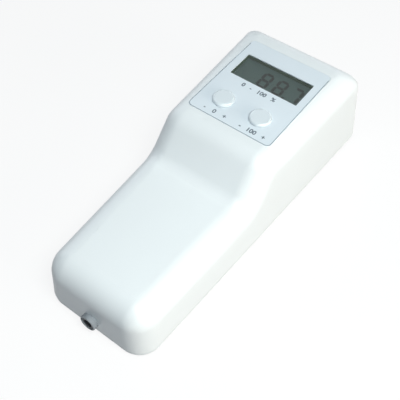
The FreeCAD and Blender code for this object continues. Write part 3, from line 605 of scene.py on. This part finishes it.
def segment_outline(start, end):
    """A bar between two points with pointed ends."""
    along = (end - start).normalized()
    side = Vector((-along.y, along.x)) * segment_width / 2
    tip_start, tip_end = start + along * segment_gap, end - along * segment_gap
    neck = along * segment_width / 2
    return [tip_start, tip_start + neck - side, tip_end - neck - side,
            tip_end, tip_end - neck + side, tip_start + neck + side]


print("plate helpers ready")

# %% Make the digits and the decimal point


def digit(name, figure, x, y):
    """One figure of the display."""
    maker = bmesh.new()
    for letter in lit_segments[figure]:
        ends = segment_ends[letter]
        start, end = [Vector((x + i * half_digit_width, y + j * half_digit_height / 2)) for i, j in ends]
        add_plate(maker, segment_outline(start, end), lcd_high.z + digit_lift, segment_thickness)
    bmesh.ops.recalc_face_normals(maker, faces=maker.faces)
    new_piece(name, maker, crystal)


crystal = moulded("dark_liquid_crystal", "080a0d", 0.5)
display_y = middle("display_window").y + digit_shift.y
digit("digit_tens", "8", digit_shift.x - digit_pitch / 2, display_y)
digit("digit_ones", "8", digit_shift.x + digit_pitch / 2, display_y)
digit("digit_tenths", "7", digit_shift.x + digit_pitch * 1.5, display_y)
point = bmesh.new()
point_side = 0.7 * mm
point_x, point_y = digit_shift.x + digit_pitch, display_y - half_digit_height
square = [(-1, -1), (1, -1), (1, 1), (-1, 1)]
add_plate(point, [Vector((point_x + i * point_side, point_y + j * point_side)) for i, j in square],
          lcd_high.z + digit_lift, segment_thickness)
new_piece("decimal_point", point, crystal)
print("digits 8 8 . 7 made")

# %% [markdown]
# ## Marks on the switch and the battery door
#
# The rocker switch carries the usual two marks, a bar for on and a ring for off, printed in white
# on its two faces. The faces lean, so their middle and direction are read from the large facets of
# the rocker's own mesh, and each mark is drawn flat and then laid on its face. The battery door
# has a moulded arrow that shows which way it slides.

# %% Find the rocker's faces
least_facet = 2.0 * mm ** 2
least_facing = 0.8


def face_frame(node, towards, side):
    """Middle, across and outward directions of a piece's flat face, left or right of its middle."""
    outward, centre, area = Vector(), Vector(), 0.0
    for facet in nodes[node].data.polygons:
        facing = facet.normal.dot(towards) > least_facing and facet.center.x * side > 0
        if facing and facet.area > least_facet:
            outward += facet.normal * facet.area
            centre += facet.center * facet.area
            area += facet.area
    outward.normalize()
    across = Vector((0.0, 0.0, 1.0)).cross(outward).normalized()
    return centre / area, across, outward


def lay_on_face(maker, face):
    """Carries a flat drawing from the ground plane on to a face."""
    centre, across, outward = face
    up = outward.cross(across)
    for vertex in maker.verts:
        flat = vertex.co.copy()
        vertex.co = centre + across * flat.x + up * flat.y + outward * flat.z


print("face helpers ready")

# %% Print the marks on the rocker
mark_height = 4.6 * mm
mark_stroke = 0.7 * mm
ring_steps = 32
backwards = Vector((0.0, 1.0, 0.0))
bar = bmesh.new()
bar_outline = [Vector((i * mark_stroke / 2, j * mark_height / 2)) for i, j in square]
add_plate(bar, bar_outline, 0.0, ink_thickness)
lay_on_face(bar, face_frame("switch_rocker", backwards, 1))
new_piece("switch_mark_on", bar, white_ink, "power_rocker")
ring_path = arc_points((0.0, 0.0), (mark_height - mark_stroke) / 2, 0, 360, ring_steps)[:-1]
ring = flat_strip(ring_path, mark_stroke, 0.0, ink_thickness, closed=True)
lay_on_face(ring, face_frame("switch_rocker", backwards, -1))
new_piece("switch_mark_off", ring, white_ink, "power_rocker")
print("switch marks printed")

# %% Mould an arrow on the battery door
door_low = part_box("battery_door")[0]
arrow_relief = 0.25 * mm
arrow_inset = 17 * mm
arrow_tip = Vector((0.0, door_low.y + arrow_inset))
arrow_shape = [(0, 0), (4, 5), (1.4, 5), (1.4, 11), (-1.4, 11), (-1.4, 5), (-4, 5)]
arrow = bmesh.new()
add_plate(arrow, [arrow_tip + Vector(point) * mm for point in arrow_shape],
          door_low.z - arrow_relief, arrow_relief)
new_piece("door_arrow", arrow, cover_abs, "door")
print("arrow moulded on the door")

# %% [markdown]
# ## Stage
#
# The floor and the world are white to the camera and in reflections, and a darker grey to the
# light that bounces, so that the background stays white while the sides of the meter keep their
# shade. To the camera, a part of the floor's white is paper that the lamps light, which keeps the
# meter's shadow, and the rest shines by itself at a strength of 1, which keeps the far floor white.

# %% Tell direct looks from bounced light


def seen_directly(tree):
    """One where the camera, a reflection or a clear pane looks, and nought for bounced light."""
    path = add_node(tree, "ShaderNodeLightPath")
    mirrored = add_node(tree, "ShaderNodeMath", operation="MAXIMUM",
                        links={0: path.outputs["Is Camera Ray"], 1: path.outputs["Is Glossy Ray"]})
    return add_node(tree, "ShaderNodeMath", operation="MAXIMUM",
                    links={0: mirrored.outputs["Value"], 1: path.outputs["Is Transmission Ray"]})


print("light path helper ready")

# %% Make the white paper
bounce_grey = 0.15
own_white = 0.84
floor_paper, floor_tree = new_material("white_studio_paper")
floor_seen = seen_directly(floor_tree)
floor_colour = add_node(floor_tree, "ShaderNodeMix",
                        {6: [bounce_grey] * 3 + [1.0], 7: linear("ffffff")},
                        {0: floor_seen.outputs["Value"]}, data_type="RGBA")
paper = add_node(floor_tree, "ShaderNodeBsdfDiffuse", links={"Color": floor_colour.outputs[2]})
glow = add_node(floor_tree, "ShaderNodeEmission", {"Strength": 1.0})
glow_share = add_node(floor_tree, "ShaderNodeMath", {1: own_white}, {0: floor_seen.outputs["Value"]},
                      operation="MULTIPLY")
floor_shader = add_node(floor_tree, "ShaderNodeMixShader",
                        links={0: glow_share.outputs["Value"], 1: paper.outputs["BSDF"],
                               2: glow.outputs["Emission"]})
add_node(floor_tree, "ShaderNodeOutputMaterial", links={"Surface": floor_shader.outputs["Shader"]})
print("paper shines by itself for", own_white, "of its white")

# %% Lay the floor
floor_half = 6.0
floor_maker = bmesh.new()
bmesh.ops.create_grid(floor_maker, x_segments=1, y_segments=1, size=floor_half)
floor_mesh = bpy.data.meshes.new("floor")
floor_maker.to_mesh(floor_mesh)
floor_maker.free()
floor_mesh.materials.append(floor_paper)
floor = bpy.data.objects.new("floor", floor_mesh)
bpy.context.scene.collection.objects.link(floor)
print("floor, metres across", 2 * floor_half)

# %% Set the world
world = bpy.data.worlds.new("studio")
bpy.context.scene.world = world
world.use_nodes = True
world.node_tree.nodes.clear()
sky_level = 0.14
world_seen = seen_directly(world.node_tree)
sky = scaled(linear("d2e8ff"), sky_level)
world_colour = add_node(world.node_tree, "ShaderNodeMix", {6: sky, 7: linear("ffffff")},
                        {0: world_seen.outputs["Value"]}, data_type="RGBA")
backdrop = add_node(world.node_tree, "ShaderNodeBackground", links={"Color": world_colour.outputs[2]})
add_node(world.node_tree, "ShaderNodeOutputWorld", links={"Surface": backdrop.outputs["Background"]})
print("world set")

# %% [markdown]
# ## Light
#
# The meter is white on white, so its shape shows only through shade. The main lamp hangs close
# above, to the right and a little towards the grip, so the tops grow paler that way. A warm, low
# lamp to the right brightens the right wall and the rounded edge above it. A wide lamp on the left
# and weak ones in front and behind lift the other sides. Hardly any light reaches the end of the
# grip, so that end stays grey. A lamp's power is worked out from how bright a white sheet that
# faces it at the meter's place should look, where 1 is white.

# %% Hang the lamps


def lamp(name, place, aim, size, level, colour):
    """A square area lamp aimed at a point; level is how bright it makes a white sheet that faces it."""
    data = bpy.data.lights.new(name, "AREA")
    data.size = size
    data.color = linear(colour)[:3]
    data.energy = level * (math.pi * (place - aim).length) ** 2
    light = bpy.data.objects.new(name, data)
    light.location = place
    light.rotation_euler = (aim - place).to_track_quat("-Z", "Y").to_euler()
    bpy.context.scene.collection.objects.link(light)


aim = Vector((0.0, 0.0, 0.03))
lamp("overhead_lamp", Vector((0.24, -0.13, 0.5)), aim, 0.24, 0.8, "f7fefc")
lamp("right_lamp", Vector((1.1, 0.0, 0.25)), aim, 0.5, 0.57, "fff7ea")
lamp("left_lamp", Vector((-1.0, 0.4, 0.3)), aim, 0.9, 0.34, "f4fbff")
lamp("front_lamp", Vector((0.8, -0.6, 0.6)), aim, 0.5, 0.06, "cfe4ff")
lamp("back_lamp", Vector((-0.3, 1.3, 0.1)), aim, 0.5, 0.08, "f4f8ff")
print("lamps hung")

# %% [markdown]
# ## Camera
#
# The photograph looks down on the meter from the front right, from about 38 cm away, so near
# edges look clearly longer than far ones. The camera stands on a line from its target, given by
# an angle round the meter and an angle above the table. The lens follows from how many pixels of
# a 400-pixel frame one radian covers.

# %% Place the camera
camera_turn = math.radians(37.0)
camera_rise = math.radians(53.86)
camera_distance = 378.0 * mm
camera_target = Vector((5.35, -14.5, 25.0)) * mm
photo_side = 400
pixels_per_radian = 664.4
sensor_width = 36.0
back = Vector((math.sin(camera_turn) * math.cos(camera_rise),
               -math.cos(camera_turn) * math.cos(camera_rise),
               math.sin(camera_rise)))
camera_data = bpy.data.cameras.new("camera")
camera_data.sensor_width = sensor_width
camera_data.lens = sensor_width * pixels_per_radian / photo_side
camera_data.clip_start = 0.01
camera = bpy.data.objects.new("camera", camera_data)
camera.location = camera_target + back * camera_distance
camera.rotation_euler = back.to_track_quat("Z", "Y").to_euler()
bpy.context.scene.collection.objects.link(camera)
bpy.context.scene.camera = camera
bpy.context.scene.view_settings.view_transform = "Standard"
print("lens", round(camera_data.lens, 1), "mm")
